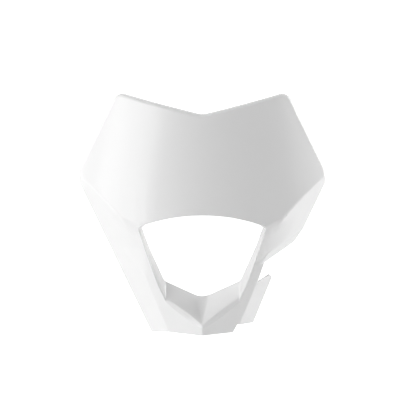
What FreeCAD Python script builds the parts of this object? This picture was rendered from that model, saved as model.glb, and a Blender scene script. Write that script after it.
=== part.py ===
import FreeCAD, Part
import math
import os
import Sketcher
from FreeCAD import Placement, Rotation, Vector

# Motorcycle headlight mask, one moulding of glossy polypropylene.
# Millimetres. X runs to the right of someone facing the mask, Y runs back from the face, Z runs up.
# The shapes are drawn from the foot of the prow, on the centre plane; the finished mask is then moved
# so that its origin lies midway between the rear faces of the lamp screw bosses.

doc = FreeCAD.newDocument("headlight_mask")
sheet = doc.addObject("Spreadsheet::Sheet", "Sizes")

SIZES = [
    ("wall", 2.5, "thickness of the moulding"),
    ("mask_depth", 62, "from the foot of the prow back to the rear edge of the side walls"),
    ("prow_rake", 21.2, "degrees, lean of the prow forward as it rises"),
    ("cheek_sweep", 34.5, "degrees, each cheek turns back from straight across"),
    ("side_sweep", 57.2, "degrees, each side wall turns back from straight across"),
    ("chin_half_width", 38, "from the centre plane to the fold between cheek and side wall, at the foot"),
    ("fold_flare", 21.5, "degrees, the fold spreads outward as it rises"),
    ("foot_rise", 3.2, "degrees, the lower edge drops toward the back under the cheeks"),
    ("wall_drop", 12, "degrees, the lower edge drops toward the back under the side walls"),
    ("plate_height", 133, "height of the lower edge of the plate above the foot, at the centre"),
    ("plate_front", -5, "the plate's lower edge from the foot of the prow, along Y"),
    ("plate_radius", 225, "bend of the plate at its lower edge"),
    ("plate_lean", 20, "degrees, the plate leans back"),
    ("notch_height", 235.8, "bottom of the shallow V in the top edge"),
    ("shoulder_height", 258, "upper corners of the plate"),
    ("shoulder_half_width", 94, "upper corners of the plate from the centre plane"),
    ("corner_height", 173.2, "widest corners of the mask"),
    ("corner_half_width", 135.7, "widest corners of the mask from the centre plane"),
    ("notch_round", 24, "rounding of the V in the top edge"),
    ("shoulder_round", 12, "rounding of the upper corners"),
    ("corner_round", 9, "rounding of the widest corners"),
    ("edge_round", 6, "rolled edge around the plate"),
    ("ridge_round", 5, "ridge between plate and side wall"),
    ("fold_round", 14, "fold between cheek and side wall"),
    ("prow_round", 2, "front edge of the prow, between the cheeks"),
    ("flange_depth", 9, "return flange behind the plate's edge"),
    ("window_top_half_width", 68, "window corner under the plate, from the centre plane"),
    ("window_arch", 14.3, "rise of the window's top edge to the plate, from its upper corners"),
    ("window_low_half_width", 39, "window corner above the chin, from the centre plane"),
    ("window_low_corner", 36.9, "height of the window's lower corners"),
    ("window_knee_half_width", 47.3, "bend in the window's side above that corner, from the centre plane"),
    ("window_knee_height", 54, "height of the bend in the window's side"),
    ("window_low_centre", 11, "height of the front lip above the foot, at the prow"),
    ("opening_setback", 34, "plane of the lamp opening behind the foot of the prow"),
    ("hood_top_spread", 0.6, "lamp opening's upper corners, outward from the window's"),
    ("opening_top_drop", 21, "lamp opening's upper corners below the plate's lower edge"),
    ("hood_low_spread", 4, "lamp opening's lower corners, outward from the window's"),
    ("floor_rise", 39.3, "degrees, the hood's floor rises from the window's lower corners to the lamp"),
    ("opening_low_centre", 34.8, "height of the lamp opening's lowest point"),
    ("opening_round", 5, "rounding of the lamp opening's upper corners"),
    ("floor_corner_round", 8, "rounding of the lamp opening's lower corners"),
    ("floor_round", 26, "rounding of the lamp opening's lowest point"),
    ("chin_ease", 2.4, "easing of the window's front lip along the chin"),
    ("side_ease", 1.2, "easing of the window's front lip along the cheeks"),
    ("crease_rear_height", 107.8, "right side: where the crease above the cable notch meets the rear edge"),
    ("crease_fold_height", 89.3, "right side: where the crease above the cable notch meets the fold"),
    ("lip_setback", 5, "right side: how far the notch's upper lip is bent in behind the side wall"),
    ("notch_corner_x", 66.8, "right side: inner upper corner of the cable notch"),
    ("notch_corner_height", 76.6, "right side: inner upper corner of the cable notch"),
    ("notch_rear_x", 101.8, "right side: rear corner of the notch's upper lip"),
    ("notch_rear_height", 92.7, "right side: rear corner of the notch's upper lip"),
    ("tab_root_x", 60, "right side: top of the lower tab at the fold"),
    ("tab_root_height", 55.1, "right side: top of the lower tab at the fold"),
    ("tab_dip_x", 67.4, "right side: bend in the tab's top edge"),
    ("tab_dip_height", 57.9, "right side: bend in the tab's top edge"),
    ("tab_tip_x", 73.4, "right side: highest corner of the tab"),
    ("tab_tip_height", 60.5, "right side: highest corner of the tab"),
    ("tab_bevel_x", 76.6, "right side: outer corner of the tab"),
    ("tab_bevel_height", 55.6, "right side: outer corner of the tab"),
    ("tab_heel_x", 56.6, "right side: lower rear corner of the tab"),
    ("tab_heel_height", 3.5, "right side: lower rear corner of the tab"),
    ("tab_toe_x", 38.2, "right side: lower front corner of the tab"),
    ("tab_toe_height", 7.4, "right side: lower front corner of the tab"),
    ("toe_slant", 28, "degrees, the chin's cut edge below the tab leans in toward the prow"),
    ("boss_spread", 71, "lamp screw bosses from the centre plane"),
    ("boss_drop", 32, "lamp screw bosses below the plate's lower edge"),
    ("boss_radius", 5, "lamp screw bosses"),
    ("boss_bore", 2.1, "radius of the bore for the lamp screws"),
    ("boss_end", 44, "rear faces of the lamp screw bosses behind the foot"),
    ("boss_bore_depth", 16, "depth of the bore for the lamp screws"),
    ("aim_width", 24, "slotted lug under the hood, for aiming the lamp"),
    ("aim_thick", 3.5, "slotted lug under the hood"),
    ("aim_setback", 26, "slotted lug behind the foot"),
    ("aim_low", 8, "lower end of the slotted lug"),
    ("aim_slot_width", 5.5, "slot in the lug"),
    ("aim_slot_length", 14, "slot in the lug, over its round ends"),
    ("ear_thick", 3, "strap ears inside the side walls"),
    ("ear_tall", 18, "strap ears inside the side walls"),
    ("ear_reach", 11, "strap ears behind the rear edge of the side walls"),
    ("ear_bore", 3.5, "radius of the hole in each strap ear"),
    ("upper_ear_drop", 5, "middle of the upper strap ears below the plate's lower edge"),
    ("upper_ear_x", 109, "upper strap ears from the centre plane"),
    ("lower_ear_height", 28, "middle of the lower strap ears above the foot"),
    ("lower_ear_x", 56, "lower strap ears from the centre plane"),
    ("tongue_x", 20, "middle of each tongue behind the chin, from the centre plane"),
    ("tongue_width", 14, "tongues behind the chin that sit on the front mudguard"),
    ("tongue_thick", 3, "tongues behind the chin"),
    ("tongue_height", 6, "underside of the tongues"),
    ("tongue_end", 44, "rear ends of the tongues behind the foot"),
    ("pad_length", 12, "pad under the rear end of each tongue, where it touches the mudguard"),
    ("pad_drop", 1, "height of the pad under each tongue"),
]
for number, (name, value, note) in enumerate(SIZES, 1):
    sheet.set(f"A{number}", name)
    sheet.set(f"B{number}", str(value))
    sheet.setAlias(f"B{number}", name)
    sheet.set(f"C{number}", note)
doc.recompute()


def size(name):
    return float(sheet.get(name))


def tangent(name):
    return math.tan(math.radians(size(name)))


def polygon(sketch, points):
    """Closed outline of straight lines whose corners are held by expressions."""
    count = len(points)
    guess = Rotation(Vector(0, 0, 1), 360.0 / count)
    ring = [Vector(100, 0, 0)]
    for _ in range(count - 1):
        ring.append(guess.multVec(ring[-1]))
    for index in range(count):
        sketch.addGeometry(Part.LineSegment(ring[index], ring[(index + 1) % count]), False)
    for index in range(count):
        sketch.addConstraint(Sketcher.Constraint("Coincident", index, 2, (index + 1) % count, 1))
    for index, (across, up) in enumerate(points):
        held = sketch.addConstraint(
            Sketcher.Constraint("DistanceX", -1, 1, index, 1, ring[index].x))
        sketch.setExpression(f"Constraints[{held}]", across)
        held = sketch.addConstraint(
            Sketcher.Constraint("DistanceY", -1, 1, index, 1, ring[index].y))
        sketch.setExpression(f"Constraints[{held}]", up)


def sketch_in(body, name, role, points, lift=None, slide=None):
    """Sketch on one of the body's own planes, lifted along the plane's normal by an expression."""
    sketch = body.newObject("Sketcher::SketchObject", name)
    plane = [o for o in body.Origin.OriginFeatures if o.Role == role][0]
    sketch.AttachmentSupport = [(plane, "")]
    sketch.MapMode = "FlatFace"
    if lift is not None:
        sketch.setExpression("AttachmentOffset.Base.z", lift)
    if slide is not None:
        sketch.setExpression("AttachmentOffset.Base.x", slide[0])
        sketch.setExpression("AttachmentOffset.Base.y", slide[1])
    polygon(sketch, points)
    return sketch


CHEEK = "tan(Sizes.cheek_sweep)"
RAKE = "tan(Sizes.prow_rake)"
SIDE = "tan(Sizes.side_sweep)"
FLARE = "tan(Sizes.fold_flare)"
# Heights that follow the plate's lower edge.
WINDOW_TOP = "(Sizes.plate_height - Sizes.window_arch)"
OPENING_TOP = "(Sizes.plate_height - Sizes.opening_top_drop)"
BOSS_HEIGHT = "(Sizes.plate_height - Sizes.boss_drop)"
EAR_HEIGHT = {"upper": "(Sizes.plate_height - Sizes.upper_ear_drop)", "lower": "Sizes.lower_ear_height"}
# Height where the rear edge of the side walls meets the return flange.
FLANGE_FOOT = "(Sizes.corner_height - Sizes.flange_depth / 2)"
# Extent of the construction solids beyond the mask.
LOW = "(-Sizes.mask_depth / 2)"
HIGH = "(Sizes.shoulder_height + Sizes.mask_depth / 2)"
BACK = "(Sizes.mask_depth * 2.4)"


def level_points(level, inset, back):
    """Plan outline of the cheeks and side walls at one height, set in by the wall."""
    fold_x = f"(Sizes.chin_half_width + {FLARE} * {level})"
    fold_y = f"({CHEEK} * {fold_x} - {RAKE} * {level})"
    in_cheek = f"({inset} / cos(Sizes.cheek_sweep))"
    in_side = f"({inset} / cos(Sizes.side_sweep))"
    step = f"(({in_cheek} - {in_side}) / ({SIDE} - {CHEEK}))"
    prow = ("0", f"{in_cheek} - {RAKE} * {level}")
    knee_x = f"({fold_x} + {step})"
    knee_y = f"({fold_y} + {CHEEK} * {step} + {in_cheek})"
    rear_x = f"({fold_x} + ({back} - {fold_y} - {in_side}) / {SIDE})"
    return [prow, (knee_x, knee_y), (rear_x, back), (f"-{rear_x}", back), (f"-{knee_x}", knee_y)]


def form(name, inset, back):
    """Cheeks, side walls and bent plate as one solid; the inner one is set in by the wall."""
    body = doc.addObject("PartDesign::Body", name)
    low = sketch_in(body, name + "_low", "XY_Plane", level_points(LOW, inset, back), LOW)
    high = sketch_in(body, name + "_high", "XY_Plane", level_points(HIGH, inset, back), HIGH)
    loft = body.newObject("PartDesign::AdditiveLoft", name + "_walls")
    loft.Profile = low
    loft.Sections = [high]
    loft.Ruled = True
    doc.recompute()
    # The plate is part of a cone on a vertical axis; what lies in front of it is turned away.
    lean = "tan(Sizes.plate_lean)"
    front = f"(Sizes.plate_radius - {inset} / cos(Sizes.plate_lean))"
    down = "Sizes.shoulder_height"
    beyond = "2 * Sizes.plate_radius"
    ring = sketch_in(body, name + "_front", "YZ_Plane", [
        (f"{front} + {down} * {lean}", f"-{down}"),
        (f"{front} - {down} * {lean}", down),
        (beyond, down),
        (beyond, f"-{down}"),
    ], None, ("Sizes.plate_front + Sizes.plate_radius", "Sizes.plate_height"))
    groove = body.newObject("PartDesign::Groove", name + "_plate")
    groove.Profile = ring
    groove.ReferenceAxis = (ring, ["V_Axis"])
    groove.Angle = 360
    doc.recompute()
    return body


outer_form = form("outer_form", "0", BACK)
inner_form = form("inner_form", "Sizes.wall", BACK)


def flat_sketch(name, points, setback="0"):
    """Upright sketch that looks along Y, standing at a distance behind the foot of the prow."""
    sketch = doc.addObject("Sketcher::SketchObject", name)
    sketch.Placement = Placement(Vector(0, 0, 0), Rotation(Vector(1, 0, 0), 90))
    sketch.setExpression("Placement.Base.y", setback)
    polygon(sketch, points)
    return sketch


def block(name, base, depth="4 * Sizes.mask_depth"):
    """Solid made by drawing a flat outline out both ways along Y."""
    solid = doc.addObject("Part::Extrusion", name)
    solid.Base = base
    solid.DirMode = "Custom"
    solid.Dir = Vector(0, 1, 0)
    solid.Solid = True
    solid.Symmetric = True
    solid.setExpression("LengthFwd", depth)
    doc.recompute()
    return solid


def combine(kind, name, base, tool):
    solid = doc.addObject(kind, name)
    solid.Base = base
    solid.Tool = tool
    doc.recompute()
    return solid


def rounded(name, base, chosen):
    """Rounds the listed edges, each given as an edge number and a radius."""
    solid = doc.addObject("Part::Fillet", name)
    solid.Base = base
    solid.Edges = [(item[0], item[1], item[-1]) for item in chosen]
    doc.recompute()
    return solid


def corner_edges(solid, corners):
    """Edges along Y of a drawn-out outline, with the radius that belongs to each corner."""
    chosen = []
    for number, edge in enumerate(solid.Shape.Edges, 1):
        first, last = edge.Vertexes[0].Point, edge.Vertexes[-1].Point
        if abs(first.x - last.x) + abs(first.z - last.z) > 0.01:
            continue
        near = min(corners, key=lambda c: abs(abs(first.x) - c[0]) + abs(first.z - c[1]))
        if abs(abs(first.x) - near[0]) + abs(first.z - near[1]) < 3 * size("wall"):
            chosen.append((number, near[2]))
    return chosen


# Front view of the plate: shallow V above, sloping sides, widest corners low down.
outline = flat_sketch("outline", [
    ("0", "Sizes.notch_height"),
    ("Sizes.shoulder_half_width", "Sizes.shoulder_height"),
    ("Sizes.corner_half_width", "Sizes.corner_height"),
    ("Sizes.corner_half_width", LOW),
    ("-Sizes.corner_half_width", LOW),
    ("-Sizes.corner_half_width", "Sizes.corner_height"),
    ("-Sizes.shoulder_half_width", "Sizes.shoulder_height"),
])
outline_block = block("outline_block", outline)
inset_outline = doc.addObject("Part::Offset2D", "inset_outline")
inset_outline.Source = outline
inset_outline.Join = "Intersection"
inset_outline.setExpression("Value", "-Sizes.wall")
doc.recompute()
inset_block = block("inset_block", inset_outline, "4 * Sizes.mask_depth + 2 * Sizes.wall")


def outline_corners(inset):
    return [
        (0, size("notch_height"), size("notch_round") + inset),
        (size("shoulder_half_width"), size("shoulder_height"), size("shoulder_round") - inset),
        (size("corner_half_width"), size("corner_height"), size("corner_round") - inset),
    ]


outer_outline = rounded("outer_outline", outline_block, corner_edges(outline_block, outline_corners(0)))
inner_outline = rounded(
    "inner_outline", inset_block, corner_edges(inset_block, outline_corners(size("wall"))))
outer_sharp = combine("Part::Common", "outer_sharp", outer_form, outer_outline)
inner_sharp = combine("Part::Common", "inner_sharp", inner_form, inner_outline)


def kind_of(face):
    """Names the side of the form that a face belongs to."""
    if isinstance(face.Surface, Part.Cone):
        return "plate"
    low, high, left, right = face.ParameterRange
    normal = face.normalAt((low + high) / 2, (left + right) / 2)
    if abs(normal.y) < 0.1:
        return "base" if normal.z < -0.9 else "rim"
    if normal.y > 0.1:
        return "back"
    return "side" if abs(normal.x) > abs(normal.y) else "cheek"


def edges_between(solid, first, second, radius):
    chosen = []
    for number, edge in enumerate(solid.Shape.Edges, 1):
        kinds = [kind_of(face) for face in solid.Shape.ancestorsOfType(edge, Part.Face)]
        if len(kinds) == 2 and sorted(kinds) == sorted([first, second]):
            chosen.append((number, radius))
    return chosen


def soften(name, sharp, inset):
    """Rounds the folds and ridges, then the rolled edge of the plate, with the wall taken off inside.

    The prow is rounded outside only, because its rounding is smaller than the wall.
    """
    ridge = edges_between(sharp, "plate", "side", size("ridge_round") - inset)
    brow = edges_between(sharp, "plate", "cheek", size("ridge_round") - inset)
    folds = edges_between(sharp, "cheek", "side", size("fold_round") - inset)
    prow = [] if inset else edges_between(sharp, "cheek", "cheek", size("prow_round"))
    folded = rounded(name + "_folds", sharp, ridge + brow + folds + prow)
    rolled = edges_between(folded, "plate", "rim", size("edge_round") - inset)
    return rounded(name, folded, rolled)


outer = soften("outer", outer_sharp, 0)
inner = soften("inner", inner_sharp, size("wall"))


def side_wall_y(across, height):
    """Distance behind the foot of the side wall's outer face."""
    fold_x = size("chin_half_width") + tangent("fold_flare") * height
    fold_y = tangent("cheek_sweep") * fold_x - tangent("prow_rake") * height
    return fold_y + tangent("side_sweep") * (across - fold_x)


def side_wall_x(setback, height):
    """Distance from the centre plane of the side wall's outer face."""
    fold_x = size("chin_half_width") + tangent("fold_flare") * height
    fold_y = tangent("cheek_sweep") * fold_x - tangent("prow_rake") * height
    return fold_x + (setback - fold_y) / tangent("side_sweep")


def fence(name, inset):
    """Block whose face is the bent-in lip above the cable notch, moved in by the wall if asked."""
    high = size("crease_fold_height")
    fold_x = size("chin_half_width") + tangent("fold_flare") * high
    start = Vector(fold_x, side_wall_y(fold_x, high), high)
    rear_x = side_wall_x(size("mask_depth"), size("crease_rear_height"))
    end = Vector(rear_x, size("mask_depth"), size("crease_rear_height"))
    low = Vector(size("notch_rear_x"), 0, size("notch_rear_height"))
    low.y = side_wall_y(low.x, low.z) + size("lip_setback")
    along = (end - start).normalize()
    outward = (low - start).cross(along).normalize()
    if outward.x < 0:
        outward = outward * -1
    solid = doc.addObject("Part::Box", name)
    solid.setExpression("Length", "2 * Sizes.mask_depth")
    solid.setExpression("Width", "2 * Sizes.mask_depth")
    solid.setExpression("Height", "Sizes.mask_depth")
    turn = Rotation(along, outward.cross(along), outward, "ZXY")
    back = turn.multVec(Vector(-size("mask_depth") / 6, -size("mask_depth"), 0))
    solid.Placement = Placement(start + back - outward * inset, turn)
    return solid


# Right side only: the wall above the cable notch is bent in along a crease.
lip_zone = doc.addObject("Part::Box", "lip_zone")
lip_zone.setExpression("Length", "Sizes.corner_half_width")
lip_zone.setExpression("Width", "4 * Sizes.mask_depth")
lip_zone.setExpression("Height", "Sizes.mask_depth")
lip_zone.setExpression("Placement.Base.x", "Sizes.notch_corner_x - 4 * Sizes.wall")
lip_zone.setExpression("Placement.Base.y", "-2 * Sizes.mask_depth")
lip_zone.setExpression("Placement.Base.z", "Sizes.notch_corner_height")
doc.recompute()
lip_outside = combine("Part::Common", "lip_outside", fence("lip_fence", 0), lip_zone)
lip_inside = combine("Part::Common", "lip_inside", fence("lip_fence_inner", size("wall")), lip_zone)
outer = combine("Part::Cut", "outer_bent", outer, lip_outside)
inner = combine("Part::Cut", "inner_bent", inner, lip_inside)
shell = combine("Part::Cut", "shell", outer, inner)

# Lamp window: a hood that narrows from the front lip back to the lamp opening.
FRONT = "(-Sizes.mask_depth)"
NEAR = "(Sizes.plate_front - Sizes.wall * 1.2)"
BEHIND = "(Sizes.opening_setback + 2 * Sizes.wall)"


def hood_corners(reach):
    """Front lip and lamp opening of the hood: lowest point, lower corner, bend, and a point up the side.

    Each is given as the place of the lip, the place of the lamp opening and the lip's distance
    behind the foot. The reach says how far up the side the last point lies, as a share of its height.
    """
    lip_x = "Sizes.window_low_half_width"
    lip_z = "Sizes.window_low_corner"
    lip_y = f"({CHEEK} * {lip_x} - {RAKE} * {lip_z})"
    hole_x = f"({lip_x} + Sizes.hood_low_spread)"
    hole_z = f"({lip_z} + (Sizes.opening_setback - {lip_y}) * tan(Sizes.floor_rise))"
    top_x = "Sizes.window_top_half_width"
    knee = ("Sizes.window_knee_half_width", "Sizes.window_knee_height")
    knee_share = f"((Sizes.window_knee_height - {lip_z}) / ({WINDOW_TOP} - {lip_z}))"
    high_lip = (f"({knee[0]} + {reach} * ({top_x} - {knee[0]}))",
                f"({knee[1]} + {reach} * ({WINDOW_TOP} - {knee[1]}))")

    def up_hole(share):
        return (f"({hole_x} + {share} * ({top_x} + Sizes.hood_top_spread - {hole_x}))",
                f"({hole_z} + {share} * ({OPENING_TOP} - {hole_z}))")

    pairs = [
        (("0", "Sizes.window_low_centre"), ("0", "Sizes.opening_low_centre")),
        ((lip_x, lip_z), (hole_x, hole_z)),
        (knee, up_hole(knee_share)),
        (high_lip, up_hole(reach)),
    ]
    return [(lip, hole, f"({CHEEK} * {lip[0]} - {RAKE} * {lip[1]})") for lip, hole in pairs]


def both_hands(points):
    """Adds the mirror image of every corner after the first, which lies on the centre plane."""
    return points + [(f"-({across})", up) for across, up in reversed(points[1:])]


def window_points(plane):
    """Corners of the hood's passage on one upright plane, along lines from lip to lamp opening."""
    points = []
    for lip, hole, lip_y in hood_corners("1.4"):
        share = f"((Sizes.opening_setback - {plane}) / (Sizes.opening_setback - {lip_y}))"
        points.append((f"({hole[0]} + ({lip[0]} - {hole[0]}) * {share})",
                       f"({hole[1]} + ({lip[1]} - {hole[1]}) * {share})"))
    return both_hands(points)


def passage(name, grown, behind):
    """The hood's passage as a solid, or the same grown by the wall."""
    extra = size("wall") if grown else 0
    ends = []
    for end, plane in (("front", NEAR), ("rear", behind)):
        wire = flat_sketch(f"{name}_{end}", window_points(plane), plane)
        if grown:
            wider = doc.addObject("Part::Offset2D", f"{name}_{end}_grown")
            wider.Source = wire
            wider.Join = "Intersection"
            wider.setExpression("Value", "Sizes.wall")
            wire = wider
        ends.append(wire)
    doc.recompute()
    loft = doc.addObject("Part::Loft", name + "_loft")
    loft.Sections = ends
    loft.Solid = True
    loft.Ruled = True
    rise = "Sizes.window_arch"
    bend = f"((Sizes.window_top_half_width ^ 2 + {rise} ^ 2) / (2 * {rise}))"
    arch = doc.addObject("Part::Cylinder", name + "_arch")
    arch.Placement = Placement(Vector(0, 0, 0), Rotation(Vector(1, 0, 0), -90))
    arch.setExpression("Radius", bend + (" + Sizes.wall" if grown else ""))
    arch.setExpression("Height", f"{behind} - {FRONT}")
    arch.setExpression("Placement.Base.y", FRONT)
    arch.setExpression("Placement.Base.z", f"Sizes.plate_height - {bend}")
    doc.recompute()
    window_top = size("plate_height") - size("window_arch")
    runs = [(min(end.Point.z for end in edge.Vertexes), number)
            for number, edge in enumerate(loft.Shape.Edges, 1)
            if abs(edge.Vertexes[0].Point.y - edge.Vertexes[-1].Point.y) > 1]
    # The floor's three lowest corners are tight at the lip and open out toward the lamp.
    chosen = []
    for low_end, number in sorted(runs)[:3]:
        edge = loft.Shape.Edges[number - 1]
        first, last = edge.Vertexes[0].Point, edge.Vertexes[-1].Point
        middle = abs(first.x) < size("window_low_half_width") / 2
        wide = size("floor_round" if middle else "floor_corner_round") + extra
        tight = size("wall") / 5 + extra
        chosen.append((number, tight, wide) if first.y < last.y else (number, wide, tight))
    eased = rounded(name + "_floor", loft, chosen)
    arched = combine("Part::Common", name + "_arched", eased, arch)
    chosen = []
    for number, edge in enumerate(arched.Shape.Edges, 1):
        first, last = edge.Vertexes[0].Point, edge.Vertexes[-1].Point
        along = abs(first.y - last.y) > size("opening_setback")
        if along and min(first.z, last.z) > window_top - 3 * size("wall"):
            chosen.append((number, size("opening_round") + extra))
    topped = rounded(name + "_topped", arched, chosen)
    if grown:
        return topped
    ahead = doc.addObject("Part::Extrusion", name + "_ahead")
    ahead.Base = ends[0]
    ahead.DirMode = "Custom"
    ahead.Dir = Vector(0, -1, 0)
    ahead.Solid = True
    ahead.setExpression("LengthFwd", "Sizes.mask_depth / 2")
    doc.recompute()
    ahead = combine("Part::Common", name + "_ahead_arched", ahead, arch)
    return combine("Part::Fuse", name, topped, ahead)


def lip_points(plane, ahead, inside):
    """Corners, on one upright plane, of a passage that splays out at the front lip.

    Each corner runs along the line from a point outside the lip, on the cheek, to a point inside
    the lip, on the hood's wall. The two shares say how far out and how far in those points lie.
    """
    chin = "Sizes.chin_ease"
    side = "Sizes.side_ease"
    steps = [
        ("0", f"(-{chin})", chin),
        (f"({side} / 2)", f"(-{chin})", chin),
        (f"(0.9 * {side})", f"(-0.35 * {side})", f"(1.3 * {side})"),
        (side, "0", f"(1.3 * {side})"),
    ]
    points = []
    for (lip, hole, lip_y), (step_x, step_z, depth) in zip(hood_corners("1.2"), steps):
        out_x = f"({lip[0]} + {ahead} * {step_x})"
        out_z = f"({lip[1]} + {ahead} * {step_z})"
        out_y = f"({CHEEK} * {out_x} - {RAKE} * {out_z})"
        share = f"({inside} * {depth} / (Sizes.opening_setback - {lip_y}))"
        in_x = f"({lip[0]} + ({hole[0]} - {lip[0]}) * {share})"
        in_z = f"({lip[1]} + ({hole[1]} - {lip[1]}) * {share})"
        in_y = f"({lip_y} + {inside} * {depth})"
        along = f"(({plane} - {out_y}) / ({in_y} - {out_y}))"
        points.append((f"({out_x} + ({in_x} - {out_x}) * {along})",
                       f"({out_z} + ({in_z} - {out_z}) * {along})"))
    return both_hands(points)


def splay(name, ahead, inside):
    """Solid that takes one flat off the front lip of the window."""
    ends = []
    deepest = f"({CHEEK} * Sizes.window_low_half_width - {RAKE} * Sizes.window_low_corner + 2 * Sizes.chin_ease)"
    for end, plane in (("front", NEAR), ("rear", deepest)):
        ends.append(flat_sketch(f"{name}_{end}", lip_points(plane, ahead, inside), plane))
    doc.recompute()
    loft = doc.addObject("Part::Loft", name + "_loft")
    loft.Sections = ends
    loft.Solid = True
    loft.Ruled = True
    doc.recompute()
    return loft


hood_void = passage("hood_void", False, BEHIND)
hood_full = passage("hood_full", True, "Sizes.opening_setback")
hood = combine("Part::Common", "hood", outer, hood_full)
hooded = combine("Part::Fuse", "hooded", shell, hood)
opened = combine("Part::Cut", "opened", hooded, hood_void)
# The front lip is eased by two flats, the second one lower and longer than the first.
window_arch = doc.getObject("hood_void_arch")
for turn, ahead, inside in (("first", "1", "1"), ("second", "0.45", "1.7")):
    flat = combine("Part::Common", f"lip_{turn}_flat", splay(f"lip_{turn}", ahead, inside), window_arch)
    opened = combine("Part::Cut", f"eased_{turn}", opened, flat)


def side_block(name, points):
    """Solid drawn out both ways along X from an outline in the side view."""
    sketch = doc.addObject("Sketcher::SketchObject", name + "_outline")
    sketch.Placement = Placement(Vector(0, 0, 0), Rotation(Vector(1, 1, 1), 120))
    polygon(sketch, points)
    solid = doc.addObject("Part::Extrusion", name)
    solid.Base = sketch
    solid.DirMode = "Custom"
    solid.Dir = Vector(1, 0, 0)
    solid.Solid = True
    solid.Symmetric = True
    solid.setExpression("LengthFwd", "4 * Sizes.corner_half_width")
    doc.recompute()
    return solid


# Lower edge in the side view: one slope under the cheeks, a steeper one under the side walls.
KNEE_Y = f"({CHEEK} * Sizes.chin_half_width)"
KNEE_Z = f"({KNEE_Y} * tan(Sizes.foot_rise))"
below = side_block("below", [
    (f"-({BACK})", f"{BACK} * tan(Sizes.foot_rise)"),
    (KNEE_Y, f"-{KNEE_Z}"),
    (f"2 * {BACK}", f"-({KNEE_Z} + (2 * {BACK} - {KNEE_Y}) * tan(Sizes.wall_drop))"),
    (f"2 * {BACK}", f"2 * {LOW}"),
    (f"-({BACK})", f"2 * {LOW}"),
])
# Rear edge in the side view, up to the widest corners.
behind = side_block("behind", [
    ("Sizes.mask_depth", f"2 * {LOW}"),
    ("Sizes.mask_depth", f"{FLANGE_FOOT} - 1.5 * Sizes.flange_depth"),
    ("Sizes.mask_depth + Sizes.flange_depth", FLANGE_FOOT),
    (f"2 * {BACK}", FLANGE_FOOT),
    (f"2 * {BACK}", f"2 * {LOW}"),
])
trimmed = combine("Part::Cut", "trimmed_foot", opened, below)
trimmed = combine("Part::Cut", "trimmed_back", trimmed, behind)

# The return flange keeps an even depth behind the plate.
hollow = doc.addObject("Part::Cone", "hollow")
tall = f"(Sizes.shoulder_height - {FLANGE_FOOT} + Sizes.mask_depth)"
radius = ("(Sizes.plate_radius - Sizes.flange_depth / cos(Sizes.plate_lean)"
          f" - ({FLANGE_FOOT} - Sizes.plate_height) * tan(Sizes.plate_lean))")
hollow.setExpression("Radius1", radius)
hollow.setExpression("Radius2", f"{radius} - {tall} * tan(Sizes.plate_lean)")
hollow.setExpression("Height", tall)
hollow.setExpression("Placement.Base.y", "Sizes.plate_front + Sizes.plate_radius")
hollow.setExpression("Placement.Base.z", FLANGE_FOOT)
doc.recompute()
trimmed = combine("Part::Cut", "trimmed_flange", trimmed, hollow)

# Right side only: cable notch, with the tab that is left below it.
notch_outline = flat_sketch("notch_outline", [
    ("Sizes.notch_corner_x", "Sizes.notch_corner_height"),
    ("Sizes.notch_rear_x", "Sizes.notch_rear_height"),
    ("2 * Sizes.corner_half_width", "Sizes.notch_rear_height"),
    ("2 * Sizes.corner_half_width", f"2 * {LOW}"),
    (f"Sizes.tab_toe_x - (Sizes.tab_toe_height - 2 * {LOW}) * tan(Sizes.toe_slant)", f"2 * {LOW}"),
    ("Sizes.tab_toe_x", "Sizes.tab_toe_height"),
    ("Sizes.tab_heel_x", "Sizes.tab_heel_height"),
    ("Sizes.tab_bevel_x", "Sizes.tab_bevel_height"),
    ("Sizes.tab_tip_x", "Sizes.tab_tip_height"),
    ("Sizes.tab_dip_x", "Sizes.tab_dip_height"),
    ("Sizes.tab_root_x", "Sizes.tab_root_height"),
])
notch_block = block("notch_block", notch_outline)
notched = combine("Part::Cut", "notched", trimmed, notch_block)


def bar(name, base, length, width, height):
    """Upright box with its place and its sizes held by expressions."""
    solid = doc.addObject("Part::Box", name)
    for axis, expression in zip("xyz", base):
        solid.setExpression(f"Placement.Base.{axis}", expression)
    solid.setExpression("Length", length)
    solid.setExpression("Width", width)
    solid.setExpression("Height", height)
    return solid


def rod(name, base, radius, length, axis):
    """Cylinder along X or Y with its place and its sizes held by expressions."""
    solid = doc.addObject("Part::Cylinder", name)
    turn = Rotation(Vector(0, 1, 0), 90) if axis == "X" else Rotation(Vector(1, 0, 0), -90)
    solid.Placement = Placement(Vector(0, 0, 0), turn)
    for direction, expression in zip("xyz", base):
        solid.setExpression(f"Placement.Base.{direction}", expression)
    solid.setExpression("Radius", radius)
    solid.setExpression("Height", length)
    return solid


def group(name, members):
    """Several solids as one, for a single boolean."""
    solid = doc.addObject("Part::MultiFuse", name)
    solid.Shapes = members
    doc.recompute()
    return solid


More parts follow.
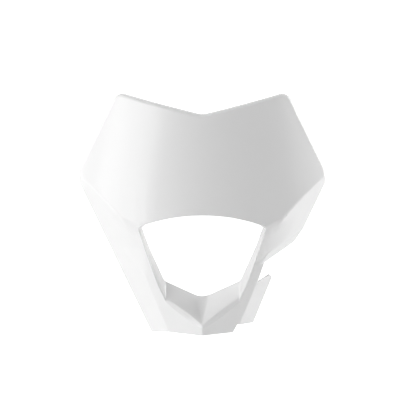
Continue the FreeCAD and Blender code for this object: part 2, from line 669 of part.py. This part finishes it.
added = []
removed = []
for hand, sign in (("left", "-"), ("right", "")):
    # Screw boss for the lamp beside the window's upper corner, grown out of the cheek.
    boss_x = f"{sign}Sizes.boss_spread"
    added.append(rod(f"boss_{hand}", (boss_x, FRONT, BOSS_HEIGHT),
                     "Sizes.boss_radius", f"Sizes.boss_end - {FRONT}", "Y"))
    removed.append(rod(f"boss_bore_{hand}",
                       (boss_x, "Sizes.boss_end - Sizes.boss_bore_depth", BOSS_HEIGHT),
                       "Sizes.boss_bore", "2 * Sizes.boss_bore_depth", "Y"))
    # Tongue behind the chin that rests on the mudguard.
    added.append(bar(f"tongue_{hand}",
                     (f"{sign}Sizes.tongue_x - Sizes.tongue_width / 2", FRONT, "Sizes.tongue_height"),
                     "Sizes.tongue_width", f"Sizes.tongue_end - {FRONT}", "Sizes.tongue_thick"))
    added.append(bar(f"pad_{hand}",
                     (f"{sign}Sizes.tongue_x - Sizes.tongue_width / 2", "Sizes.tongue_end - Sizes.pad_length",
                      "Sizes.tongue_height - Sizes.pad_drop"),
                     "Sizes.tongue_width", "Sizes.pad_length", "Sizes.pad_drop + Sizes.tongue_thick"))
    # Pierced ears for the straps that hold the mask to the fork legs.
    for level in ("upper", "lower"):
        middle = f"{sign}Sizes.{level}_ear_x"
        ear_z = EAR_HEIGHT[level]
        added.append(bar(f"ear_{level}_{hand}",
                         (f"{middle} - Sizes.ear_thick / 2", FRONT, f"{ear_z} - Sizes.ear_tall / 2"),
                         "Sizes.ear_thick", f"Sizes.mask_depth + Sizes.ear_reach - {FRONT}",
                         "Sizes.ear_tall"))
        removed.append(rod(f"ear_hole_{level}_{hand}",
                           (f"{middle} - Sizes.ear_thick * 2", "Sizes.mask_depth + Sizes.ear_reach / 2 - 1",
                            ear_z), "Sizes.ear_bore", "4 * Sizes.ear_thick", "X"))
# Slotted lug under the hood, where the lamp's aiming screw passes.
added.append(bar("aim_lug", ("-Sizes.aim_width / 2", "Sizes.aim_setback", "Sizes.aim_low"),
                 "Sizes.aim_width", "Sizes.aim_thick", "Sizes.opening_low_centre - Sizes.aim_low"))
slot_low = "(Sizes.aim_low + Sizes.aim_slot_width)"
slot_span = "(Sizes.aim_slot_length - Sizes.aim_slot_width)"
removed.append(bar("aim_slot", ("-Sizes.aim_slot_width / 2", "Sizes.aim_setback - Sizes.aim_thick", slot_low),
                   "Sizes.aim_slot_width", "3 * Sizes.aim_thick", slot_span))
for end, lift in (("low", "0"), ("high", slot_span)):
    removed.append(rod(f"aim_slot_{end}",
                       ("0", "Sizes.aim_setback - Sizes.aim_thick", f"{slot_low} + {lift}"),
                       "Sizes.aim_slot_width / 2", "3 * Sizes.aim_thick", "Y"))
doc.recompute()
fittings = group("fittings", added)
bores = group("bores", removed)

# The fittings stop at the outer face and stay clear of the passage to the lamp.
within = combine("Part::Common", "fittings_within", fittings, outer)
within = combine("Part::Cut", "fittings_clear", within, hood_void)
joined = combine("Part::Fuse", "joined", notched, within)
mask = combine("Part::Cut", "mask", joined, bores)
mask.Label = "headlight_mask"
# The mask's own frame starts midway between the rear faces of the lamp screw bosses.
mask.setExpression("Placement.Base.y", "-Sizes.boss_end")
mask.setExpression("Placement.Base.z", f"-{BOSS_HEIGHT}")
doc.recompute()


def check_and_write(solid):
    """Stops on any failed object, or on a shape that is empty or not valid, then writes the piece."""
    for item in doc.Objects:
        if "Invalid" in item.State or "Error" in item.State:
            raise RuntimeError(f"{item.Name} failed")
    if solid.Shape.isNull() or not solid.Shape.isValid() or len(solid.Shape.Solids) != 1:
        raise RuntimeError(f"{solid.Label} is not one valid solid")
    os.makedirs("parts", exist_ok=True)
    solid.Shape.exportStep(f"parts/{solid.Label}.step")


check_and_write(mask)
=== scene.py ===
import math

import bmesh
import bpy
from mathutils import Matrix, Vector


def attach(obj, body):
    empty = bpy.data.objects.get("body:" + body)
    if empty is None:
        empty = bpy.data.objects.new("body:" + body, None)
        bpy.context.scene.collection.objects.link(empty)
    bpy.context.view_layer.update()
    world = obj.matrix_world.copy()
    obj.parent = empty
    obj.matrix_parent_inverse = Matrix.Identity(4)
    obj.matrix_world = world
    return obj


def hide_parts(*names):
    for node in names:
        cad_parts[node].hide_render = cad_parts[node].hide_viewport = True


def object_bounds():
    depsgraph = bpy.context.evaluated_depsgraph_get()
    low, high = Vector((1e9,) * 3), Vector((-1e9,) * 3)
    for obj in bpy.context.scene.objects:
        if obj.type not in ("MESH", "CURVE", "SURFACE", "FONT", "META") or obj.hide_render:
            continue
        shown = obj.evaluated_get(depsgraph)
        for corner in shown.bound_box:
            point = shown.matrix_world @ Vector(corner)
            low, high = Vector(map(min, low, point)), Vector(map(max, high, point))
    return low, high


bl_info = {
    "name": "Headlight mask",
    "version": (1, 0, 0),
    "blender": (4, 5, 0),
    "location": "3D View > Sidebar > Headlight mask",
    "description": "Dresses a one-piece motorcycle headlight mask and sets up its studio",
    "category": "Object",
}

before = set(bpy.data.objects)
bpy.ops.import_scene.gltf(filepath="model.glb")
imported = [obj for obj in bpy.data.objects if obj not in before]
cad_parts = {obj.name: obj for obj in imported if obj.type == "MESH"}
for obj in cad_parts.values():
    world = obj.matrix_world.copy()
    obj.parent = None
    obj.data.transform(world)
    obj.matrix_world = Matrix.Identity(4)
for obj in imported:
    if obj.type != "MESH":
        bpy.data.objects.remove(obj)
CAD_BOX = [[float(value) for value in corner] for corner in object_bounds()]
MASK = "headlight_mask"

# The foot of the prow, the slopes of the moulding's main faces, the half width of the chin between the two
# folds, and the height at which the plate begins above the prow. In the functions below, across is a
# distance from the centre plane, back a distance behind the foot and up a height above it.
FOOT = Vector((0.0, -0.044, -0.101))
CHEEK = math.tan(math.radians(34.5))
RAKE = math.tan(math.radians(21.2))
SIDE = math.tan(math.radians(57.2))
FLARE = math.tan(math.radians(21.5))
CHIN = 0.038
PLATE_FOOT = 0.1187

# The lamp window: the lower corner and the bend of each side, the arched top, and the lamp opening's depth.
CORNER_ACROSS = 0.039
CORNER_UP = 0.0369
BEND_ACROSS = 0.0473
BEND_UP = 0.054
LOW_SPREAD = 0.4854
HIGH_SPREAD = 0.3199
ARCH_UP = 0.133
ARCH_DROP = 0.0143
ARCH_REACH = 0.068
ARCH_SLOPE = 0.42
LAMP_BACK = 0.0335

# A soft form of the hood is whole near the hood's wall, and has run out at this distance from it.
HOOD_REACH = 0.008
HOOD_FADE = 0.005
SKIN = 0.0005

# The crease on the right side wall, above the cable notch: where it starts, and how steeply it climbs.
CREASE_ACROSS = 0.0732
CREASE_UP = 0.0893
CREASE_CLIMB = 0.48

# Where the copy is cut more finely, as ranges across and up: the side folds and the window's upper corners.
FOLD_ZONE = ((0.052, 0.118), (0.06, 0.15))
CORNER_ZONE = ((0.059, 0.074), (0.107, 0.13))
CORNER_SPACING = 0.0007
CREASE_SPACING = 0.0008

# What the camera and the softboxes look at, and how far off the softboxes stand.
CAMERA_TARGET = Vector((-0.0026, -0.024, 0.0443))
SOFTBOX_TARGET = Vector((0.0, 0.0, 0.03))
SOFTBOX_DISTANCE = 1.6


class MaskForm(bpy.types.PropertyGroup):
    """Soft forms of the moulding"""
    fold_start: bpy.props.FloatProperty(
        name="Fold opens from", description="Height above the foot where the fold begins to open out",
        subtype="DISTANCE", unit="LENGTH", min=0.0, max=0.2, default=0.06)
    fold_growth: bpy.props.FloatProperty(
        name="Fold growth", description="Half width that the fold gains for each unit of height",
        min=0.0, max=2.0, default=0.6)
    fold_reach: bpy.props.FloatProperty(
        name="Fold reach", description="Largest half width of the fold, seen from the front",
        subtype="DISTANCE", unit="LENGTH", min=0.001, max=0.04, default=0.019)
    ridge_fade: bpy.props.FloatProperty(
        name="Ridge fade", description="Height over which the soft fold runs out below the plate",
        subtype="DISTANCE", unit="LENGTH", min=0.001, max=0.05, default=0.012)
    lip_height: bpy.props.FloatProperty(
        name="Lip height", description="Height of the lip above the cable notch, on the right side",
        subtype="DISTANCE", unit="LENGTH", min=0.0005, max=0.02, default=0.006)
    side_inset: bpy.props.FloatProperty(
        name="Side inset", description="How far the hood's sides close in from the lip to the lamp",
        subtype="DISTANCE", unit="LENGTH", min=0.0, max=0.01, default=0.0012)
    corner_inset: bpy.props.FloatProperty(
        name="Corner inset", description="How much further they close in at the window's upper corners",
        subtype="DISTANCE", unit="LENGTH", min=0.0, max=0.01, default=0.0018)
    top_inset: bpy.props.FloatProperty(
        name="Top inset", description="How far the hood's top comes down from the lip to the lamp",
        subtype="DISTANCE", unit="LENGTH", min=0.0, max=0.01, default=0.0019)
    corner_radius: bpy.props.FloatProperty(
        name="Corner radius", description="Rounding of the window's two upper corners",
        subtype="DISTANCE", unit="LENGTH", min=0.0, max=0.015, default=0.006)
    spacing: bpy.props.FloatProperty(
        name="Cut spacing", description="Spacing of the cuts that let the flat faces bend",
        subtype="DISTANCE", unit="LENGTH", min=0.001, max=0.01, default=0.003)


class MaskFinish(bpy.types.PropertyGroup):
    """Colour and surface of the moulding"""
    colour: bpy.props.FloatVectorProperty(
        name="Plastic colour", description="Colour of the moulding, through and through",
        subtype="COLOR", size=3, min=0.0, max=1.0, default=(0.82, 0.82, 0.82))
    roughness: bpy.props.FloatProperty(
        name="Roughness", description="How soft the reflections on the moulding are",
        subtype="FACTOR", min=0.0, max=1.0, default=0.22)
    edge: bpy.props.FloatProperty(
        name="Edge softness", description="Radius of the moulding's softly broken edges",
        subtype="DISTANCE", unit="LENGTH", min=0.0, max=0.003, default=0.001)
    ripple: bpy.props.FloatProperty(
        name="Ripple depth", description="Depth of the faint waves in the moulded surface",
        subtype="DISTANCE", unit="LENGTH", min=0.0, max=0.001, default=0.00002)
    ripple_size: bpy.props.FloatProperty(
        name="Ripple width", description="Width of the faint waves in the moulded surface",
        subtype="DISTANCE", unit="LENGTH", min=0.001, max=0.1, default=0.02)


class MaskStudio(bpy.types.PropertyGroup):
    """Camera and lights"""
    distance: bpy.props.FloatProperty(
        name="Camera distance", description="From the camera to the middle of the mask",
        subtype="DISTANCE", unit="LENGTH", min=0.5, max=5.0, default=1.8)
    elevation: bpy.props.FloatProperty(
        name="Camera height angle", description="How far above level the camera looks from",
        subtype="ANGLE", unit="ROTATION", min=-0.5, max=1.0, default=math.radians(8))
    focal: bpy.props.FloatProperty(
        name="Focal length", description="Focal length of the camera's lens, in millimetres",
        min=20.0, max=300.0, default=150.0)
    front_left: bpy.props.FloatProperty(
        name="Front left softbox", description="Power of the softbox beside the camera, on its left",
        subtype="POWER", unit="POWER", min=0.0, max=500.0, default=6.1)
    low_left: bpy.props.FloatProperty(
        name="Low left softbox", description="Power of the low softbox in front, on the left",
        subtype="POWER", unit="POWER", min=0.0, max=500.0, default=4.4)
    high_left: bpy.props.FloatProperty(
        name="High left softbox", description="Power of the high softbox in front, on the left",
        subtype="POWER", unit="POWER", min=0.0, max=500.0, default=8.7)
    left_side: bpy.props.FloatProperty(
        name="Left side light", description="Power of the light level with the left side",
        subtype="POWER", unit="POWER", min=0.0, max=500.0, default=6.0)
    left_top: bpy.props.FloatProperty(
        name="Left top light", description="Power of the light above the left side",
        subtype="POWER", unit="POWER", min=0.0, max=500.0, default=5.9)
    right_side: bpy.props.FloatProperty(
        name="Right side light", description="Power of the light level with the right side",
        subtype="POWER", unit="POWER", min=0.0, max=500.0, default=3.3)
    right_rear: bpy.props.FloatProperty(
        name="Right rear light", description="Power of the light behind the right side",
        subtype="POWER", unit="POWER", min=0.0, max=500.0, default=22.1)
    glow: bpy.props.FloatProperty(
        name="Ground whiteness", description="How much of its white the floor shows by itself",
        min=0.0, max=1.0, default=0.7)
    mirrored: bpy.props.FloatProperty(
        name="Mirrored ground", description="How much of its white the floor shows in reflections",
        min=0.0, max=1.0, default=0.35)
    fill: bpy.props.FloatProperty(
        name="Room light", description="Strength of the even light of the room",
        min=0.0, max=5.0, default=0.1)


def smooth_step(value):
    """Eases from 0 to 1 as the value does, with no corner at either end."""
    value = min(1.0, max(0.0, value))
    return value * value * (3.0 - 2.0 * value)


def window_side(up):
    """How far across the window's side stands at a height."""
    if up < BEND_UP:
        return CORNER_ACROSS + LOW_SPREAD * (up - CORNER_UP)
    return BEND_ACROSS + HIGH_SPREAD * (up - BEND_UP)


def window_arch(across):
    """How high the window's arched top stands at a distance across."""
    return ARCH_UP - ARCH_DROP * (across / ARCH_REACH) ** 2


def window_lip(across, up):
    """How far back the skin lies around the window: on the cheek, and level above it on the plate."""
    return CHEEK * across - RAKE * min(up, PLATE_FOOT)


def ridge_height(across):
    """Height of the plate's lower ridge, which steepens toward the widest corner."""
    return max(0.1175 + 0.44 * (across - 0.068), 0.1265 + 0.93 * (across - 0.0895))


def crease_height(across):
    """Height of the crease above the cable notch."""
    return CREASE_UP + CREASE_CLIMB * (across - CREASE_ACROSS)


def cut_faces(shape, faces, places, normals):
    """Cuts some faces along planes, each with its own place and normal, so that they can bend."""
    part = set(faces)
    for face in faces:
        part.update(face.edges)
        part.update(face.verts)
    part = list(part)
    for place, normal in zip(places, normals):
        # Points within 0.04 mm of a plane are taken as lying in it, so that no sliver is cut off.
        part = bmesh.ops.bisect_plane(shape, geom=part, dist=0.00004,
                                      plane_co=place, plane_no=normal)["geom"]


def cut_zone(shape, side, zone, spacing):
    """Cuts the faces that reach into a zone along evenly spaced upright and level planes."""
    reach, heights = zone
    limits = {0: sorted(side * across for across in reach), 2: [FOOT.z + up for up in heights]}
    faces = []
    for face in shape.faces:
        corners = [vert.co for vert in face.verts]
        if all(max(co[axis] for co in corners) > low and min(co[axis] for co in corners) < high
               for axis, (low, high) in limits.items()):
            faces.append(face)
    places = []
    normals = []
    for axis, (low, high) in limits.items():
        normal = Vector((0.0, 0.0, 0.0))
        normal[axis] = 1.0
        for count in range(int((high - low) / spacing) + 1):
            places.append(normal * (low + count * spacing))
            normals.append(normal)
    cut_faces(shape, faces, places, normals)


def cut_crease(shape):
    """Cuts the right side wall along the crease and a little below and above it."""
    faces = []
    for face in shape.faces:
        middle = face.calc_center_median()
        if 0.06 < middle.x < 0.115 and abs(middle.z - FOOT.z - crease_height(middle.x)) < 0.006:
            faces.append(face)
    places = [Vector((CREASE_ACROSS, 0.0, FOOT.z + CREASE_UP + count * CREASE_SPACING))
              for count in range(-6, 3)]
    normal = Vector((-CREASE_CLIMB, 0.0, 1.0)).normalized()
    cut_faces(shape, faces, places, [normal] * len(places))


def fold_shift(form, right, across, back, up):
    """How far back the open fold between cheek and side wall lies, seen from the front."""
    off = across - CHIN - FLARE * up
    reach = min(form.fold_reach, (up - form.fold_start) * form.fold_growth)
    if reach <= 0.0 or abs(off) >= reach:
        return 0.0
    fade = smooth_step((ridge_height(across) - up) / form.ridge_fade)
    if right:
        # Below the crease above the cable notch the wall bends out to the lip, and its fold stays tight.
        fade *= min(1.0, max(0.0, (up - crease_height(across) + form.lip_height) / form.lip_height))
    opened = (SIDE - CHEEK) * (reach - abs(off)) ** 2 / (4.0 * reach)
    # The tight rounding that the skin has along the fold gives way to the open one.
    rounding = back - (CHEEK * across - RAKE * up + (SIDE - CHEEK) * max(0.0, off))
    if abs(off) > 0.004 or not 0.0 < rounding < 0.0008:
        rounding = 0.0
    return fade * (opened - rounding * smooth_step(reach / 0.006))


def hood_shift(form, across, back, up):
    """How far inward and down the hood closes in behind the window's lip."""
    edge = window_side(up)
    lip = window_lip(min(across, edge), up)
    # The skin and the lip stay in place.
    depth = min(1.0, max(0.0, (back - lip - SKIN) / (LAMP_BACK - lip)))
    # The sides close in from the shelf's corners up to the arch, and most at the upper corners.
    beside = smooth_step((HOOD_REACH - abs(across - edge)) / HOOD_FADE)
    beside *= smooth_step((0.13 - up) / 0.008)
    inset = form.side_inset * smooth_step((up - 0.038) / 0.016)
    inset += form.corner_inset * smooth_step((up - 0.09) / 0.025)
    # The top comes down all along the arch, and stops beyond its ends.
    above = smooth_step((HOOD_REACH - abs(up - window_arch(across))) / HOOD_FADE)
    above *= smooth_step((0.076 - across) / 0.006)
    return inset * depth * beside, form.top_inset * depth * above


def corner_shift(form, across, back, up):
    """How far across and up a point by one of the window's upper corners moves to round it."""
    edge = window_side(up)
    # The rounding is tighter at the lip, and has its full radius 20 mm behind it.
    depth = (back - window_lip(edge, up)) / 0.02
    radius = form.corner_radius * (0.55 + 0.45 * smooth_step(depth))
    side = edge - across
    top = window_arch(across) - up
    near = smooth_step((0.007 + min(side, top)) / 0.004)
    inward = max(side, 0.0)
    down = max(top, 0.0)
    if radius <= 0.0 or max(inward, down) >= radius or near <= 0.0:
        return 0.0, 0.0
    # The corner's two edges are laid round a quarter turn, in distances from the side and from the arch.
    turn = math.radians(45) * (1.0 + (inward - down) / radius)
    off_side = radius * (1.0 - math.cos(turn)) - inward
    off_arch = radius * (1.0 - math.sin(turn)) - down
    rise = -(off_arch - ARCH_SLOPE * off_side) / (1.0 + ARCH_SLOPE * HIGH_SPREAD)
    return near * (HIGH_SPREAD * rise - off_side), near * rise


def move_points(shape, form):
    """Opens the side folds, closes the hood in and rounds the window's upper corners."""
    for vert in shape.verts:
        side = math.copysign(1.0, vert.co.x)
        across = abs(vert.co.x)
        back = vert.co.y - FOOT.y
        up = vert.co.z - FOOT.z
        inward, down = hood_shift(form, across, back, up)
        outward, rise = corner_shift(form, across, back, up)
        vert.co.x += side * (outward - inward)
        vert.co.y += fold_shift(form, side > 0.0, across, back, up)
        vert.co.y += CHEEK * outward - RAKE * rise
        vert.co.z += rise - down


def node_tree(owner):
    """Empty node tree of a material or a world."""
    owner.use_nodes = True
    tree = owner.node_tree
    tree.nodes.clear()
    return tree


def glossy_plastic(name, settings):
    """White polypropylene with a moulded gloss: faint waves, and gloss that varies a little."""
    material = bpy.data.materials.new(name)
    tree = node_tree(material)
    output = tree.nodes.new("ShaderNodeOutputMaterial")
    shader = tree.nodes.new("ShaderNodeBsdfPrincipled")
    shader.inputs["Base Color"].default_value = (*settings.colour, 1.0)
    shader.inputs["IOR"].default_value = 1.49
    place = tree.nodes.new("ShaderNodeTexCoord")
    cloud = tree.nodes.new("ShaderNodeTexNoise")
    cloud.inputs["Scale"].default_value = 1.0 / settings.ripple_size
    cloud.inputs["Detail"].default_value = 2.0
    gloss = tree.nodes.new("ShaderNodeMapRange")
    gloss.inputs["To Min"].default_value = settings.roughness * 0.85
    gloss.inputs["To Max"].default_value = settings.roughness * 1.15
    edge = tree.nodes.new("ShaderNodeBevel")
    edge.samples = 6
    edge.inputs["Radius"].default_value = settings.edge
    wave = tree.nodes.new("ShaderNodeBump")
    wave.inputs["Strength"].default_value = 1.0
    wave.inputs["Distance"].default_value = settings.ripple
    tree.links.new(place.outputs["Object"], cloud.inputs["Vector"])
    tree.links.new(cloud.outputs["Fac"], gloss.inputs["Value"])
    tree.links.new(gloss.outputs["Result"], shader.inputs["Roughness"])
    tree.links.new(cloud.outputs["Fac"], wave.inputs["Height"])
    tree.links.new(edge.outputs["Normal"], wave.inputs["Normal"])
    tree.links.new(wave.outputs["Normal"], shader.inputs["Normal"])
    tree.links.new(shader.outputs["BSDF"], output.inputs["Surface"])
    return material


def white_ground(name, seen, mirrored):
    """Pale floor that keeps its shadows and reads as white to the camera and in reflections."""
    material = bpy.data.materials.new(name)
    tree = node_tree(material)
    output = tree.nodes.new("ShaderNodeOutputMaterial")
    diffuse = tree.nodes.new("ShaderNodeBsdfDiffuse")
    diffuse.inputs["Color"].default_value = (0.8, 0.8, 0.8, 1.0)
    path = tree.nodes.new("ShaderNodeLightPath")
    direct = tree.nodes.new("ShaderNodeMath")
    direct.operation = "MULTIPLY"
    direct.inputs[1].default_value = seen
    level = tree.nodes.new("ShaderNodeMath")
    level.operation = "MULTIPLY_ADD"
    level.inputs[1].default_value = mirrored
    glow = tree.nodes.new("ShaderNodeEmission")
    both = tree.nodes.new("ShaderNodeAddShader")
    tree.links.new(path.outputs["Is Camera Ray"], direct.inputs[0])
    tree.links.new(path.outputs["Is Glossy Ray"], level.inputs[0])
    tree.links.new(direct.outputs[0], level.inputs[2])
    tree.links.new(level.outputs[0], glow.inputs["Strength"])
    tree.links.new(diffuse.outputs["BSDF"], both.inputs[0])
    tree.links.new(glow.outputs["Emission"], both.inputs[1])
    tree.links.new(both.outputs["Shader"], output.inputs["Surface"])
    return material


def softbox(name, around, above, power):
    """Square softbox aimed at the mask; the angles are taken from the camera's side, in degrees."""
    lamp = bpy.data.lights.new(name, "AREA")
    lamp.shape = "SQUARE"
    lamp.size = 1.0
    lamp.energy = power
    turn = math.radians(around)
    rise = math.radians(above)
    toward = Vector((math.sin(turn) * math.cos(rise), -math.cos(turn) * math.cos(rise), math.sin(rise)))
    obj = bpy.data.objects.new(name, lamp)
    obj.location = SOFTBOX_TARGET + SOFTBOX_DISTANCE * toward
    obj.rotation_euler = toward.to_track_quat("Z", "Y").to_euler()
    bpy.context.scene.collection.objects.link(obj)


def backdrop_mesh(name, height):
    """Floor that curves up into the backdrop."""
    half_width = 3.0
    front = -2.5
    length = 3.5
    radius = 1.0
    rise = 1.5
    shape = bmesh.new()
    start = shape.verts.new((-half_width, front, height))
    end = shape.verts.new((half_width, front, height))
    edge = shape.edges.new((start, end))
    grown = bmesh.ops.extrude_edge_only(shape, edges=[edge])
    moved = [item for item in grown["geom"] if isinstance(item, bmesh.types.BMVert)]
    bmesh.ops.translate(shape, verts=moved, vec=(0.0, length, 0.0))
    last = [item for item in grown["geom"] if isinstance(item, bmesh.types.BMEdge)
            and all(vert in moved for vert in item.verts)]
    bend = bmesh.ops.spin(shape, geom=last, cent=(0.0, front + length, height + radius),
                          axis=(1.0, 0.0, 0.0), angle=math.radians(90), steps=16, use_duplicate=False)
    rim = [item for item in bend["geom_last"] if isinstance(item, bmesh.types.BMEdge)]
    grown = bmesh.ops.extrude_edge_only(shape, edges=rim)
    moved = [item for item in grown["geom"] if isinstance(item, bmesh.types.BMVert)]
    bmesh.ops.translate(shape, verts=moved, vec=(0.0, 0.0, rise))
    mesh = bpy.data.meshes.new(name)
    shape.to_mesh(mesh)
    shape.free()
    mesh.shade_smooth()
    return mesh


def white_room(name, fill):
    """Even room light, which the gloss also reflects; the camera sees it as white."""
    world = bpy.data.worlds.new(name)
    tree = node_tree(world)
    output = tree.nodes.new("ShaderNodeOutputWorld")
    room = tree.nodes.new("ShaderNodeBackground")
    room.inputs["Color"].default_value = (1.0, 1.0, 1.0, 1.0)
    path = tree.nodes.new("ShaderNodeLightPath")
    level = tree.nodes.new("ShaderNodeMath")
    level.operation = "MULTIPLY_ADD"
    level.inputs[1].default_value = 1.0 - fill
    level.inputs[2].default_value = fill
    tree.links.new(path.outputs["Is Camera Ray"], level.inputs[0])
    tree.links.new(level.outputs[0], room.inputs["Strength"])
    tree.links.new(room.outputs["Background"], output.inputs["Surface"])
    return world


def front_camera(name, studio):
    """Camera above the front of the mask, looking slightly down."""
    lens = bpy.data.cameras.new(name)
    lens.sensor_width = 36.0
    lens.lens = studio.focal
    lens.clip_end = 20.0
    camera = bpy.data.objects.new(name, lens)
    tilt = studio.elevation
    camera.location = CAMERA_TARGET + studio.distance * Vector((0.0, -math.cos(tilt), math.sin(tilt)))
    camera.rotation_euler = (math.radians(90) - tilt, 0.0, 0.0)
    return camera


class MASK_OT_moulding(bpy.types.Operator):
    """Copies the moulding, opens its folds, softens its window and gives it its plastic"""
    bl_idname = "headlight_mask.moulding"
    bl_label = "Make the moulding"

    def execute(self, context):
        form = context.scene.mask_form
        shape = bmesh.new()
        shape.from_mesh(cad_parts[MASK].data)
        bmesh.ops.remove_doubles(shape, verts=shape.verts, dist=0.000001)
        for side in (-1, 1):
            cut_zone(shape, side, FOLD_ZONE, form.spacing)
            cut_zone(shape, side, CORNER_ZONE, CORNER_SPACING)
        cut_crease(shape)
        bmesh.ops.triangulate(shape, faces=shape.faces)
        move_points(shape, form)
        for face in shape.faces:
            face.smooth = True
        for edge in shape.edges:
            edge.smooth = len(edge.link_faces) == 2 and edge.calc_face_angle(0.0) < math.radians(28)
        mesh = bpy.data.meshes.new("mask_moulding")
        shape.to_mesh(mesh)
        shape.free()
        moulding = bpy.data.objects.new("mask_moulding", mesh)
        context.scene.collection.objects.link(moulding)
        evened = moulding.modifiers.new("even_shading", "WEIGHTED_NORMAL")
        evened.keep_sharp = True
        mesh.materials.append(glossy_plastic("glossy_white_plastic", context.scene.mask_finish))
        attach(moulding, "root")
        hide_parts(MASK)
        return {"FINISHED"}


class MASK_OT_stage(bpy.types.Operator):
    """Sets the floor, the backdrop, the lights and the camera"""
    bl_idname = "headlight_mask.stage"
    bl_label = "Set the stage"

    def execute(self, context):
        scene = context.scene
        studio = scene.mask_studio
        ground = bpy.data.objects.new("ground", backdrop_mesh("ground", CAD_BOX[0][2] - 0.12))
        ground.data.materials.append(white_ground("white_ground", studio.glow, studio.mirrored))
        scene.collection.objects.link(ground)
        scene.world = white_room("room", studio.fill)

        # Most of the light comes from the left; the right rear light draws the turned-in sides.
        softbox("front_left_softbox", -30, 10, studio.front_left)
        softbox("low_left_softbox", -55, 10, studio.low_left)
        softbox("high_left_softbox", -55, 40, studio.high_left)
        softbox("left_side_light", -105, 15, studio.left_side)
        softbox("left_top_light", -110, 50, studio.left_top)
        softbox("right_side_light", 85, 20, studio.right_side)
        softbox("right_rear_light", 110, 20, studio.right_rear)

        camera = front_camera("camera", studio)
        scene.collection.objects.link(camera)
        scene.camera = camera
        scene.view_settings.view_transform = "Standard"
        return {"FINISHED"}


class MASK_PT_panel(bpy.types.Panel):
    """Lists the steps and their settings"""
    bl_idname = "MASK_PT_panel"
    bl_label = "Headlight mask"
    bl_space_type = "VIEW_3D"
    bl_region_type = "UI"
    bl_category = "Headlight mask"

    def draw(self, context):
        layout = self.layout
        for group in (context.scene.mask_form, context.scene.mask_finish, context.scene.mask_studio):
            for key in group.__annotations__:
                layout.prop(group, key)
        layout.operator(MASK_OT_moulding.bl_idname)
        layout.operator(MASK_OT_stage.bl_idname)


CLASSES = (MaskForm, MaskFinish, MaskStudio, MASK_OT_moulding, MASK_OT_stage, MASK_PT_panel)


def register():
    """Makes the settings, the operators and the panel known."""
    for item in CLASSES:
        bpy.utils.register_class(item)
    bpy.types.Scene.mask_form = bpy.props.PointerProperty(type=MaskForm)
    bpy.types.Scene.mask_finish = bpy.props.PointerProperty(type=MaskFinish)
    bpy.types.Scene.mask_studio = bpy.props.PointerProperty(type=MaskStudio)


def unregister():
    """Takes away what register made known, in reverse."""
    del bpy.types.Scene.mask_studio
    del bpy.types.Scene.mask_finish
    del bpy.types.Scene.mask_form
    for item in reversed(CLASSES):
        bpy.utils.unregister_class(item)


def main():
    """Makes the mask and its stage."""
    register()
    bpy.ops.headlight_mask.moulding()
    bpy.ops.headlight_mask.stage()


if __name__ == "__main__":
    main()
